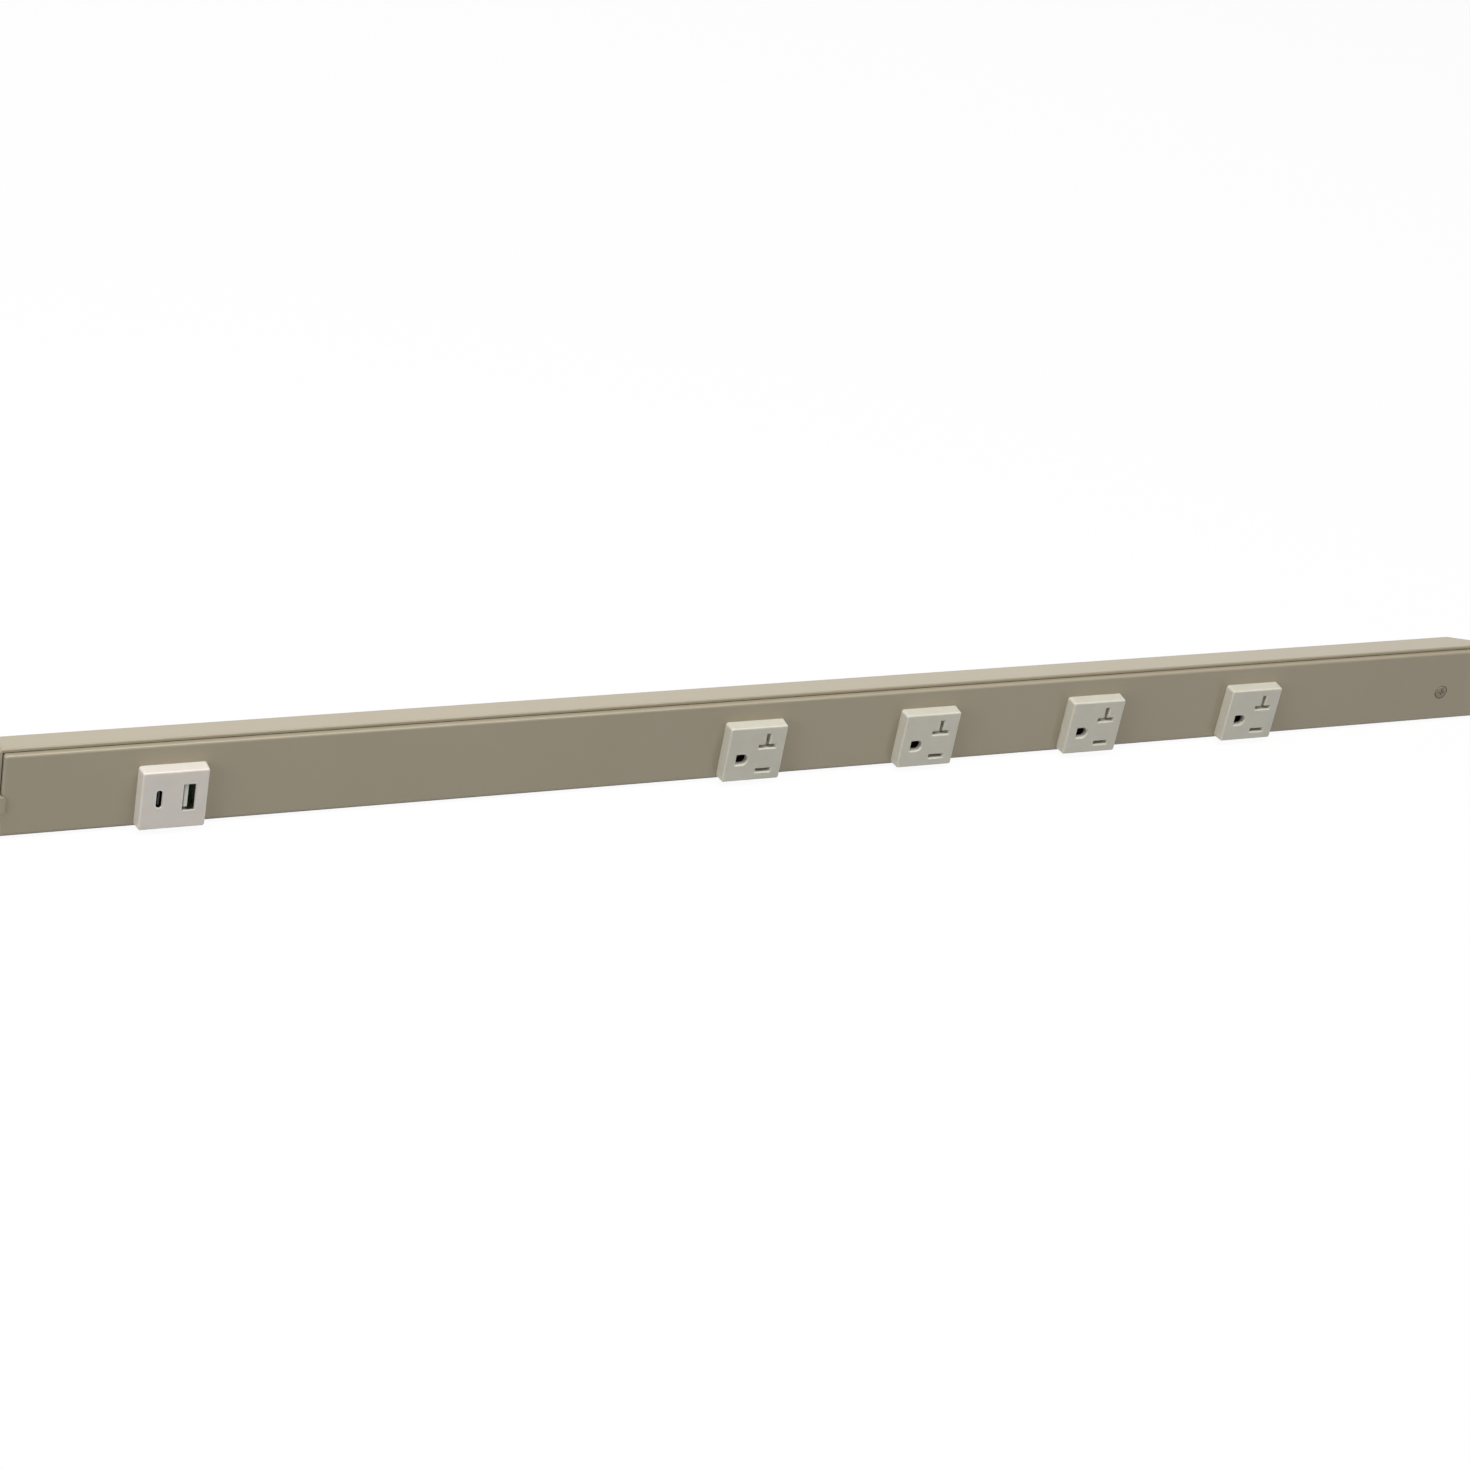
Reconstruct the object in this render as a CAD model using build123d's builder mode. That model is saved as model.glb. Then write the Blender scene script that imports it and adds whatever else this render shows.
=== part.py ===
from build123d import *
import os

os.makedirs("parts", exist_ok=True)

# Row frame: +X along the strip, +Z up, the mounting face is Y = 0 and the sockets face -Y.
# Every height named below is measured from the mounting face towards the sockets.

# Housing, a folded steel tray that is open to the front
housing_height = 42.5
housing_depth = 12.0
housing_sheet = 1.5
housing_bend = 1.9
rim_round = 0.7
corner_cut_length = 23.5
end_wall_depth = 2.2

# Cover, a shallow folded lid that drops inside the rim and stands proud of it
cover_proud = 2.5
cover_sheet = 1.0
cover_bend = 1.2
cover_gap = 0.4
cover_return = 4.2

# Fixings of the cover: a folded ear at the left end and one screw at the right end
fixing_z = -3.7
ear_height = 7.6
ear_reach = 3.0
ear_corner = 1.2
cover_screw_inset = 28.8
recess_diameter = 7.4
recess_depth = 0.6
recess_back = 9.0
cover_screw_head = 6.6
cover_screw_thickness = 0.9
cover_screw_length = 6.0
driver_slot = 0.9
driver_reach = 3.3
driver_depth = 0.5
post_diameter = 7.5
post_floor = 1.6
screw_hole = 3.1
screw_shank = 3.0

# Row of modules: one charger, two empty pitches, then the outlets
module_pitch = 92.1
outlet_count = 4
charger_pitches = 3
left_margin = 74.4
right_margin = 150.0

# Module block that stands in front of the cover
module_width = 30.0
module_height = 29.0
module_proud = 6.0
module_foot = 2.3
module_corner = 1.4
module_taper = 4.0
module_edge = 0.8
window_lap = 0.5
window_corner = 0.8
window_gap = 0.2
wall = 0.8
face_plate = 3.0
peg_diameter = 2.4
peg_length = 10.0

# Standard 20 A socket pattern, turned so that the ground hole is on the left
blade_spacing = 12.7
ground_spacing = 11.9
ground_x = -6.4
pattern_drop = 2.8
slot_width = 1.8
line_slot_length = 7.4
neutral_slot_length = 8.4
stub_length = 6.4
slot_lead_in = 0.5
ground_width = 5.8
ground_height = 5.2

# Shutter behind the two blade slots, pushed down by the blades
shutter_gap = 0.3
shutter_width = 11.6
shutter_top = 9.0
pad_lap = 0.1
window_side = 0.4
ramp_depth = 1.9
arm_width = 2.6
arm_height = 2.0
guide_width = 1.0
guide_end_gap = 1.6

# Shutter return spring
spring_diameter = 2.2
spring_wire = 0.35
spring_turns = 5
spring_length = 8.6
seat_height = 1.2

# Rear moulding and its contacts
body_side_inset = 0.5
body_end_inset = 1.0
peg_inset = 2.6
flange_lap = 1.9
flange_thickness = 1.5
body_clearance = 0.3
pocket_floor = 1.2
hidden_edge = 0.8
pocket_length = 9.6
pocket_height = 5.2
contact_length = 7.6
contact_strip = 0.7
contact_setback = 0.3
contact_gap = 0.25
base_spread = 4.0
blade_throat = 1.3
blade_mouth = 2.8
mouth_depth = 2.0
bridge_width = 3.0
ground_throat = 4.9
ground_slit = 0.8
ground_slit_depth = 7.0

# Forked tail of a contact that grips its conductor above the module
stem_slot = 1.1
prong = 0.6
fork_web = 0.8
line_stem_x = 12.0
neutral_stem_x = 0.0
line_stem_width = 3.0
ground_stem_width = 1.5

# Conductors, three straight insulated wires above the row of modules
wire_diameter = 3.3
wire_layer_gap = 1.3
stem_clearance = 0.4
wire_overhang = 12.0

# Charger module
port_z = 0.9
port_c_x = -6.7
port_c_length = 8.9
port_c_width = 3.1
port_a_x = 6.4
port_a_length = 13.1
port_a_width = 5.9
port_shell = 0.3
port_gap = 0.1
port_sink = 0.3
tongue_c = 0.7
tongue_c_length = 6.7
tongue_a = 1.84
tongue_a_length = 11.1
tongue_a_inset = 0.75
tongue_setback = 1.2
charger_wall = 1.2
board_gap = 0.3
board_low_inset = 5.2
board_high_inset = 3.4
board_thickness = 1.6
ledge_width = 1.4
boss_diameter = 4.4
boss_gap = 0.5
part_gap = 1.2
transformer_size = 12.6
capacitor_length = 11.0
tap_inset = 3.3

# Wired end: terminal block, bonding strap, cable entry and the slots for the wall screws
block_offset = 42.0
block_length = 15.0
block_height = 20.0
block_rim = 0.75
block_gap = 0.5
block_entry_pitch = 5.0
terminal_hole = 4.4
terminal_head = 4.0
terminal_head_thickness = 1.4
terminal_shank = 2.4
near_terminal = 3.6
far_terminal = 11.0
bond_z = 4.0
strap_width = 7.0
strap_thickness = 0.8
strap_rise = 6.0
strap_reach = 14.0
bond_head = 6.0
bond_head_thickness = 2.2
entry_inset = 58.0
entry_diameter = 22.2
bushing_bore = 16.0
bushing_flange = 26.0
bushing_rise = 1.4
bushing_gap = 0.1
bushing_edge = 0.45
mount_spacing = 406.4
mount_slot_length = 12.0
mount_slot_width = 4.8
mount_slot_z = 0.0

# Places that follow from the sizes above
strip_length = left_margin + (charger_pitches + outlet_count - 1) * module_pitch + right_margin
left_end = -strip_length / 2
right_end = strip_length / 2
charger_x = left_end + left_margin
first_outlet_x = charger_x + charger_pitches * module_pitch
outlet_xs = [first_outlet_x + n * module_pitch for n in range(outlet_count)]
last_outlet_x = outlet_xs[-1]
cover_screw_x = right_end - cover_screw_inset
corner_cut_depth = housing_depth - end_wall_depth
module_z = -housing_height / 2 + module_foot + module_height / 2
cover_face = housing_depth + cover_proud
cover_back = cover_face - cover_sheet
cover_foot = cover_face - cover_return
cover_inset = housing_sheet + cover_gap
cover_length = strip_length - 2 * cover_inset
cover_height = housing_height - 2 * cover_inset
module_front = cover_face + module_proud
plate_back = module_front - face_plate
window_width = module_width - 2 * window_lap
window_height = module_height - 2 * window_lap
neck_width = window_width - 2 * window_gap
neck_height = window_height - 2 * window_gap
cavity_width = neck_width - 2 * wall
cavity_height = neck_height - 2 * wall
blade_x = ground_x + ground_spacing
neutral_z = blade_spacing / 2 - pattern_drop
line_z = -blade_spacing / 2 - pattern_drop
ground_z = -pattern_drop
shutter_travel = slot_width + pad_lap
shutter_back = cover_back + shutter_gap
shutter_front = plate_back - shutter_gap
shutter_left = blade_x - shutter_width / 2
shutter_low = line_z - slot_width / 2 - pad_lap
spring_x = shutter_left - arm_width / 2
spring_y = (shutter_back + shutter_front) / 2
seat_top = shutter_top - arm_height - spring_length
body_width = window_width - 2 * body_side_inset
body_height = window_height - 2 * body_end_inset
body_foot = housing_sheet + body_clearance
floor_height = body_foot + pocket_floor
contact_front = cover_back - contact_setback
peg_x = body_width / 2 - peg_inset
peg_z = body_height / 2 - peg_diameter / 2 - wall
pegs = [(-peg_x, -peg_z), (blade_x, peg_z)]
wire_radius = wire_diameter / 2
wire_spread = wire_radius + stem_clearance + ground_stem_width / 2
middle_height = (housing_sheet + cover_back) / 2
lower_wire_z = module_z + body_height / 2 + fork_web + wire_radius
upper_wire_z = lower_wire_z + wire_diameter + wire_layer_gap
line_wire = (middle_height - wire_spread, lower_wire_z)
neutral_wire = (middle_height + wire_spread, lower_wire_z)
ground_wire = (middle_height, upper_wire_z)
block_z = upper_wire_z + wire_radius + block_rim - block_height / 2
block_top = cover_back - block_gap
block_left = last_outlet_x + block_offset
block_right = block_left + block_length
bond_x = block_right + strap_reach


def level(height):
    """The plane at this height above the mounting face, seen from the front."""
    return Plane.XZ.offset(height)


def save(part, name):
    part.label = name
    export_step(part, f"parts/{name}.step")


def at_module(part, x):
    """A copy of a module's piece, moved from the module's own centre to its place."""
    return part.moved(Location((x, 0, module_z)))


def slab(x, z, width, height, low, high, mode=Mode.ADD):
    """A block on the centre (x, z) that reaches from one height to another."""
    with BuildSketch(level(low)) as outline:
        with Locations((x, z)):
            Rectangle(width, height)
    extrude(outline.sketch, amount=high - low, mode=mode)


# Housing
with BuildPart() as back_housing:
    with BuildSketch(Plane.XY.offset(-housing_height / 2)):
        with BuildLine():
            Polyline(
                (left_end, 0),
                (right_end - corner_cut_length, 0),
                (right_end, -corner_cut_depth),
                (right_end, -housing_depth),
                (left_end, -housing_depth),
                close=True,
            )
        make_face()
    extrude(amount=housing_height)
    rim_edges = back_housing.edges().group_by(Axis.Y)[0]
    fillet(back_housing.edges() - rim_edges, radius=housing_bend)
    offset(amount=-housing_sheet, openings=back_housing.faces().sort_by(Axis.Y)[0])
    fillet(back_housing.faces().sort_by(Axis.Y)[0].outer_wire().edges(), radius=rim_round)
    # Slots for the wall screws, a standard cable entry and the hole of the bonding screw
    with BuildSketch(level(0)):
        with Locations((-mount_spacing / 2, mount_slot_z), (mount_spacing / 2, mount_slot_z)):
            SlotOverall(mount_slot_length, mount_slot_width)
        with Locations((right_end - entry_inset, 0)):
            Circle(entry_diameter / 2)
        with Locations((bond_x, bond_z)):
            Circle(screw_hole / 2)
    extrude(amount=housing_sheet, mode=Mode.SUBTRACT)
    # Ear that is folded from the left end wall over the edge of the cover
    with BuildSketch(Plane.XY.offset(fixing_z - ear_height / 2)) as ear_section:
        with Locations((left_end, -cover_face - housing_sheet)):
            Rectangle(ear_reach, housing_sheet, align=(Align.MIN, Align.MIN))
            Rectangle(
                housing_sheet,
                cover_proud + 2 * housing_sheet,
                align=(Align.MIN, Align.MIN),
            )
        fillet(ear_section.vertices().group_by(Axis.Y)[0].sort_by(Axis.X)[0], radius=ear_corner)
    extrude(amount=ear_height)
    ear_edges = back_housing.edges().filter_by(Axis.Y).sort_by(Axis.Y)[:4]
    fillet(ear_edges.sort_by(Axis.X)[-2:], radius=ear_corner)
save(back_housing.part, "back_housing")

# Front cover
with BuildPart() as front_cover:
    with BuildSketch(level(cover_foot)):
        Rectangle(cover_length, cover_height)
    extrude(amount=cover_return)
    foot_edges = front_cover.edges().group_by(Axis.Y)[-1]
    fillet(front_cover.edges() - foot_edges, radius=cover_bend)
    offset(amount=-cover_sheet, openings=front_cover.faces().sort_by(Axis.Y)[-1])
    # The returns at the right end are trimmed parallel to the corner cut of the housing
    slope = corner_cut_depth / corner_cut_length
    trim_start = corner_cut_length + cover_inset * Vector(1, slope).length / slope
    trim_height = (trim_start - cover_inset) * slope
    with BuildSketch(Plane.XY.offset(-cover_height / 2)):
        with BuildLine():
            Polyline(
                (right_end - trim_start, 0),
                (right_end - cover_inset, -trim_height),
                (right_end, -trim_height),
                (right_end, 0),
                close=True,
            )
        make_face()
    extrude(amount=cover_height, mode=Mode.SUBTRACT)
    # One window for each module
    with BuildSketch(level(cover_foot)):
        with Locations(*[(x, module_z) for x in [charger_x] + outlet_xs]):
            RectangleRounded(window_width, window_height, window_corner)
    extrude(amount=cover_return, mode=Mode.SUBTRACT)
    # Pressed recess that sinks the head of the cover screw
    with BuildSketch(level(cover_back - recess_depth)):
        with Locations((cover_screw_x, fixing_z)):
            Circle(recess_back / 2)
    extrude(amount=recess_depth)
    with BuildSketch(level(cover_face - recess_depth)):
        with Locations((cover_screw_x, fixing_z)):
            Circle(recess_diameter / 2)
    extrude(amount=recess_depth, mode=Mode.SUBTRACT)
    with BuildSketch(level(cover_foot)):
        with Locations((cover_screw_x, fixing_z)):
            Circle(screw_hole / 2)
    extrude(amount=cover_return, mode=Mode.SUBTRACT)
save(front_cover.part, "front_cover")

# Threaded post that takes the cover screw
post_top = cover_back - recess_depth
with BuildPart() as cover_post:
    with BuildSketch(level(housing_sheet)):
        with Locations((cover_screw_x, fixing_z)):
            Circle(post_diameter / 2)
    extrude(amount=post_top - housing_sheet)
    with BuildSketch(level(housing_sheet + post_floor)):
        with Locations((cover_screw_x, fixing_z)):
            Circle(screw_hole / 2)
    extrude(amount=post_top - housing_sheet - post_floor, mode=Mode.SUBTRACT)
save(cover_post.part, "cover_post")

# Cover screw
head_foot = cover_face - recess_depth
with BuildPart() as cover_screw:
    with BuildSketch(level(head_foot)):
        with Locations((cover_screw_x, fixing_z)):
            Circle(cover_screw_head / 2)
    extrude(amount=cover_screw_thickness)
    fillet(cover_screw.edges().sort_by(Axis.Y)[0], radius=cover_screw_thickness / 2)
    with BuildSketch(level(head_foot - cover_screw_length)):
        with Locations((cover_screw_x, fixing_z)):
            Circle(screw_shank / 2)
    extrude(amount=cover_screw_length)
    with BuildSketch(level(head_foot + cover_screw_thickness - driver_depth)):
        with Locations((cover_screw_x, fixing_z)):
            Rectangle(driver_reach, driver_slot)
            Rectangle(driver_slot, driver_reach)
    extrude(amount=driver_depth, mode=Mode.SUBTRACT)
save(cover_screw.part, "cover_screw")


def module_block():
    """The moulded block every module shares: a tapered front on a hollow neck."""
    with BuildPart() as block:
        with BuildSketch(level(cover_face)):
            RectangleRounded(module_width, module_height, module_corner)
        extrude(amount=module_proud, taper=module_taper)
        fillet(block.faces().sort_by(Axis.Y)[0].edges(), radius=module_edge)
        slab(0, 0, neck_width, neck_height, cover_back, cover_face)
        slab(0, 0, cavity_width, cavity_height, cover_back, plate_back, Mode.SUBTRACT)
    return block.part


def forked_tail(x, width, low, high, base_z, wire):
    """A flat stem that climbs to a conductor and grips it between two prongs."""
    wire_y = -wire[0]
    wire_z = wire[1] - module_z
    head_low = wire_z - wire_radius - fork_web
    with BuildSketch(Plane.YZ.offset(x - contact_strip / 2)) as outline:
        with Locations((-(low + high) / 2, (base_z + head_low + fork_web) / 2)):
            Rectangle(width, head_low + fork_web - base_z)
        with Locations((wire_y, head_low)):
            Rectangle(
                wire_diameter + 2 * prong,
                wire_diameter + fork_web,
                align=(Align.CENTER, Align.MIN),
            )
        with Locations((wire_y, wire_z)):
            Circle(wire_radius, mode=Mode.SUBTRACT)
            Rectangle(
                wire_diameter,
                wire_diameter,
                align=(Align.CENTER, Align.MIN),
                mode=Mode.SUBTRACT,
            )
    extrude(outline.sketch, amount=contact_strip)


def blade_contact(centre_z, stem_x, stem_high, wire):
    """Two sprung leaves on a folded base, bridged to the stem that meets the conductor."""
    leaf = contact_strip / 2
    base = floor_height + leaf
    throat = contact_front - mouth_depth
    half_profile = [
        (centre_z + blade_mouth / 2 + leaf, contact_front - leaf),
        (centre_z + blade_throat / 2 + leaf, throat),
        (centre_z + base_spread / 2, base),
    ]
    other_half = [(2 * centre_z - z, height) for z, height in reversed(half_profile)]
    with BuildPart() as contact:
        with BuildSketch(Plane.YZ.offset(blade_x - contact_length / 2)):
            with BuildLine():
                Polyline([(-height, z) for z, height in half_profile + other_half])
            trace(line_width=contact_strip)
        extrude(amount=contact_length)
        bridge_end = stem_x + leaf if stem_x > blade_x else stem_x - leaf
        slab(
            (blade_x + bridge_end) / 2,
            centre_z,
            abs(bridge_end - blade_x),
            bridge_width,
            floor_height,
            floor_height + contact_strip,
        )
        forked_tail(
            stem_x,
            stem_high - floor_height,
            floor_height,
            stem_high,
            centre_z - bridge_width / 2,
            wire,
        )
    return contact.part


# Face of one outlet
with BuildPart() as outlet_face:
    add(module_block())
    # Slots and ground hole with a small lead-in
    with BuildSketch(level(plate_back)):
        with Locations((blade_x, line_z)):
            Rectangle(line_slot_length, slot_width)
        with Locations((blade_x, neutral_z)):
            Rectangle(neutral_slot_length, slot_width)
            Rectangle(slot_width, stub_length, align=(Align.CENTER, Align.MIN))
        with Locations((ground_x + ground_width / 2 - ground_height / 2, ground_z)):
            Circle(ground_height / 2)
        with Locations((ground_x - ground_width / 2, ground_z)):
            Rectangle(
                ground_width - ground_height / 2,
                ground_height,
                align=(Align.MIN, Align.CENTER),
            )
    extrude(amount=face_plate, mode=Mode.SUBTRACT)
    front_face = outlet_face.faces().sort_by(Axis.Y)[0]
    chamfer(front_face.inner_wires().edges(), length=slot_lead_in)
    # Guides beside the shutter, the seat of its spring and the two fixing pegs
    guide_low = shutter_back + shutter_gap
    right_guide_x = blade_x + shutter_width / 2 + shutter_gap + guide_width / 2
    guide_height = cavity_height - 2 * guide_end_gap
    slab(right_guide_x, 0, guide_width, guide_height, guide_low, plate_back)
    left_guide_x = shutter_left - shutter_gap - guide_width / 2
    guide_foot = -cavity_height / 2
    slab(
        left_guide_x,
        (guide_foot + seat_top) / 2,
        guide_width,
        seat_top - guide_foot,
        guide_low,
        plate_back,
    )
    seat_width = arm_width - shutter_gap
    slab(
        shutter_left - shutter_gap - seat_width / 2,
        seat_top - seat_height / 2,
        seat_width,
        seat_height,
        guide_low,
        plate_back,
    )
    with BuildSketch(level(plate_back - peg_length)):
        with Locations(*pegs):
            Circle(peg_diameter / 2)
    extrude(amount=peg_length)

# Shutter with two ramps and two windows
with BuildPart() as shutter:
    slab(
        blade_x,
        (shutter_low + shutter_top) / 2,
        shutter_width,
        shutter_top - shutter_low,
        shutter_back,
        shutter_front,
    )
    slab(
        spring_x,
        shutter_top - arm_height / 2,
        arm_width,
        arm_height,
        shutter_back,
        shutter_front,
    )
    for slot_z, slot_length in ((line_z, line_slot_length), (neutral_z, neutral_slot_length)):
        pad_top = slot_z + slot_width / 2 + pad_lap
        slab(
            blade_x,
            pad_top + shutter_travel / 2,
            slot_length + 2 * window_side,
            shutter_travel,
            shutter_back,
            shutter_front,
            Mode.SUBTRACT,
        )
        with BuildSketch(Plane.YZ.offset(blade_x - slot_length / 2 - window_side)):
            with BuildLine():
                Polyline(
                    (-shutter_front, pad_top),
                    (-shutter_front + ramp_depth, pad_top),
                    (-shutter_front, pad_top - slot_width),
                    close=True,
                )
            make_face()
        extrude(amount=slot_length + 2 * window_side, mode=Mode.SUBTRACT)

# Return spring, one open coil that stands on its seat
coil_radius = (spring_diameter - spring_wire) / 2
coil_height = spring_length - spring_wire
with BuildPart() as shutter_spring:
    with BuildLine() as coil:
        Helix(pitch=coil_height / spring_turns, height=coil_height, radius=coil_radius)
    with BuildSketch(Plane(coil.line @ 0, z_dir=coil.line % 0)):
        RegularPolygon(spring_wire / 2, 6)
    sweep(path=coil.line, is_frenet=True)
spring_place = Location((spring_x, -spring_y, seat_top + spring_wire / 2))

# Rear moulding of one outlet
with BuildPart() as outlet_body:
    slab(0, 0, body_width, body_height, body_foot, cover_back)
    fillet(outlet_body.edges().group_by(Axis.Y)[-1], radius=hidden_edge)
    slab(
        0,
        0,
        body_width + 2 * flange_lap,
        body_height,
        cover_back - flange_thickness,
        cover_back,
    )
    for pocket_z in (line_z, neutral_z):
        slab(
            blade_x,
            pocket_z,
            pocket_length,
            pocket_height,
            floor_height,
            cover_back,
            Mode.SUBTRACT,
        )
    with BuildSketch(level(floor_height)):
        with Locations((ground_x, ground_z)):
            Circle(ground_throat / 2 + contact_strip + contact_gap)
    extrude(amount=cover_back - floor_height, mode=Mode.SUBTRACT)
    # Channels that let the stems out at the top
    body_top = body_height / 2
    stem_foot = bridge_width / 2 + contact_gap
    ground_stem_low = ground_wire[0] - ground_stem_width / 2
    for stem_x, foot_z, low in (
        (line_stem_x, line_z - stem_foot, floor_height),
        (neutral_stem_x, neutral_z - stem_foot, floor_height),
        (ground_x, ground_z, ground_stem_low - contact_gap),
    ):
        slab(
            stem_x,
            (foot_z + body_top) / 2,
            stem_slot,
            body_top - foot_z,
            low,
            cover_back,
            Mode.SUBTRACT,
        )
    slab(
        (blade_x + line_stem_x) / 2,
        line_z,
        line_stem_x - blade_x,
        2 * stem_foot,
        floor_height,
        cover_back,
        Mode.SUBTRACT,
    )
    slab(
        (blade_x + neutral_stem_x) / 2,
        neutral_z,
        blade_x - neutral_stem_x,
        2 * stem_foot,
        floor_height,
        cover_back,
        Mode.SUBTRACT,
    )
    with BuildSketch(level(plate_back - peg_length - contact_gap)):
        with Locations(*pegs):
            Circle(peg_diameter / 2)
    extrude(amount=cover_back - plate_back + peg_length + contact_gap, mode=Mode.SUBTRACT)

# Contacts of one outlet
line_contact = blade_contact(line_z, line_stem_x, floor_height + line_stem_width, line_wire)
neutral_contact = blade_contact(neutral_z, neutral_stem_x, neutral_wire[0] + wire_radius, neutral_wire)
with BuildPart() as ground_contact:
    with BuildSketch(level(floor_height)):
        with Locations((ground_x, ground_z)):
            Circle(ground_throat / 2 + contact_strip)
            Circle(ground_throat / 2, mode=Mode.SUBTRACT)
    extrude(amount=contact_front - floor_height)
    slab(
        ground_x,
        ground_z,
        ground_throat + 4 * contact_strip,
        ground_slit,
        contact_front - ground_slit_depth,
        contact_front,
        Mode.SUBTRACT,
    )
    forked_tail(
        ground_x,
        ground_stem_width,
        ground_stem_low,
        ground_stem_low + ground_stem_width,
        ground_z + ground_throat / 2 + contact_strip / 2,
        ground_wire,
    )

for number, outlet_x in enumerate(outlet_xs, start=1):
    save(at_module(outlet_face.part, outlet_x), f"outlet_face_{number}")
    save(at_module(outlet_body.part, outlet_x), f"outlet_body_{number}")
    save(at_module(shutter.part, outlet_x), f"shutter_{number}")
    save(at_module(shutter_spring.part.moved(spring_place), outlet_x), f"shutter_spring_{number}")
    save(at_module(line_contact, outlet_x), f"line_contact_{number}")
    save(at_module(neutral_contact, outlet_x), f"neutral_contact_{number}")
    save(at_module(ground_contact.part, outlet_x), f"ground_contact_{number}")

# Sizes inside the charger
box_width = body_width - 2 * charger_wall
box_height = body_height - 2 * charger_wall
board_width = box_width - 2 * board_gap
board_low = board_low_inset - box_height / 2
board_high = box_height / 2 - board_high_inset
board_height = board_high - board_low
board_z = (board_low + board_high) / 2
board_back = middle_height
board_front = board_back + board_thickness
transformer_foot = floor_height + board_gap
capacitor_diameter = board_back - floor_height - board_gap
boss_x = box_width / 2 - boss_diameter / 2 - boss_gap
boss_z = boss_diameter / 2 - box_height / 2
transformer_x = box_width / 2 - ledge_width - part_gap - transformer_size / 2
capacitor_x = capacitor_diameter / 2 + part_gap + ledge_width - box_width / 2
tap_line_x = tap_inset - box_width / 2
tap_neutral_x = (port_c_x + port_a_x) / 2

# Face of the charger with its two ports
with BuildPart() as charger_face:
    add(module_block())
    with BuildSketch(level(plate_back)):
        with Locations((port_a_x, port_z)):
            Rectangle(port_a_width + 2 * port_gap, port_a_length + 2 * port_gap)
        with Locations((port_c_x, port_z)):
            SlotOverall(port_c_length + 2 * port_gap, port_c_width + 2 * port_gap, rotation=90)
    extrude(amount=face_plate, mode=Mode.SUBTRACT)
    with BuildSketch(level(plate_back - peg_length)):
        with Locations((-boss_x, boss_z), (boss_x, boss_z)):
            Circle(peg_diameter / 2)
    extrude(amount=peg_length)
save(at_module(charger_face.part, charger_x), "charger_face")

# Rear box of the charger
with BuildPart() as charger_body:
    slab(0, 0, body_width, body_height, body_foot, cover_back)
    fillet(charger_body.edges().group_by(Axis.Y)[-1], radius=hidden_edge)
    slab(
        0,
        0,
        body_width + 2 * flange_lap,
        body_height,
        cover_back - flange_thickness,
        cover_back,
    )
    slab(0, 0, box_width, box_height, floor_height, cover_back, Mode.SUBTRACT)
    for side in (-1, 1):
        slab(
            side * (box_width - ledge_width) / 2,
            board_z,
            ledge_width,
            board_height,
            floor_height,
            board_back,
        )
        slab(side * boss_x, boss_z, boss_diameter, boss_diameter, floor_height, cover_back)
    with BuildSketch(level(plate_back - peg_length - contact_gap)):
        with Locations((-boss_x, boss_z), (boss_x, boss_z)):
            Circle(peg_diameter / 2)
    extrude(amount=cover_back - plate_back + peg_length + contact_gap, mode=Mode.SUBTRACT)
    for tap_x, low in ((tap_line_x, board_back - line_stem_width), (tap_neutral_x, board_front)):
        slab(
            tap_x,
            body_top - charger_wall,
            stem_slot,
            2 * charger_wall,
            low - contact_gap,
            cover_back,
            Mode.SUBTRACT,
        )
save(at_module(charger_body.part, charger_x), "charger_body")

# Circuit board of the charger and the parts on its back
with BuildPart() as charger_board:
    slab(0, board_z, board_width, board_height, board_back, board_front)
save(at_module(charger_board.part, charger_x), "charger_board")

with BuildPart() as charger_transformer:
    slab(transformer_x, 0, transformer_size, transformer_size, transformer_foot, board_back)
    chamfer(charger_transformer.edges().filter_by(Axis.Y), length=hidden_edge)
save(at_module(charger_transformer.part, charger_x), "charger_transformer")

with BuildPart() as charger_capacitor:
    with BuildSketch(Plane.XY.offset(board_low + wall)):
        with Locations((capacitor_x, capacitor_diameter / 2 - board_back)):
            Circle(capacitor_diameter / 2)
    extrude(amount=capacitor_length)
    chamfer(charger_capacitor.edges().filter_by(GeomType.CIRCLE), length=contact_gap)
save(at_module(charger_capacitor.part, charger_x), "charger_capacitor")

# Taps that join the charger to the conductors
tap_foot = board_high - bridge_width
with BuildPart() as charger_line_tap:
    forked_tail(
        tap_line_x,
        line_stem_width,
        board_back - line_stem_width,
        board_back,
        tap_foot,
        line_wire,
    )
save(at_module(charger_line_tap.part, charger_x), "charger_line_tap")

with BuildPart() as charger_neutral_tap:
    forked_tail(
        tap_neutral_x,
        line_stem_width,
        board_front,
        board_front + line_stem_width,
        tap_foot,
        neutral_wire,
    )
save(at_module(charger_neutral_tap.part, charger_x), "charger_neutral_tap")

# Port shells and tongues
port_front = module_front - port_sink
tongue_front = module_front - tongue_setback
with BuildPart() as port_a_shell:
    slab(port_a_x, port_z, port_a_width, port_a_length, board_front, port_front)
    slab(
        port_a_x,
        port_z,
        port_a_width - 2 * port_shell,
        port_a_length - 2 * port_shell,
        board_front,
        port_front,
        Mode.SUBTRACT,
    )
save(at_module(port_a_shell.part, charger_x), "port_a_shell")

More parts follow.
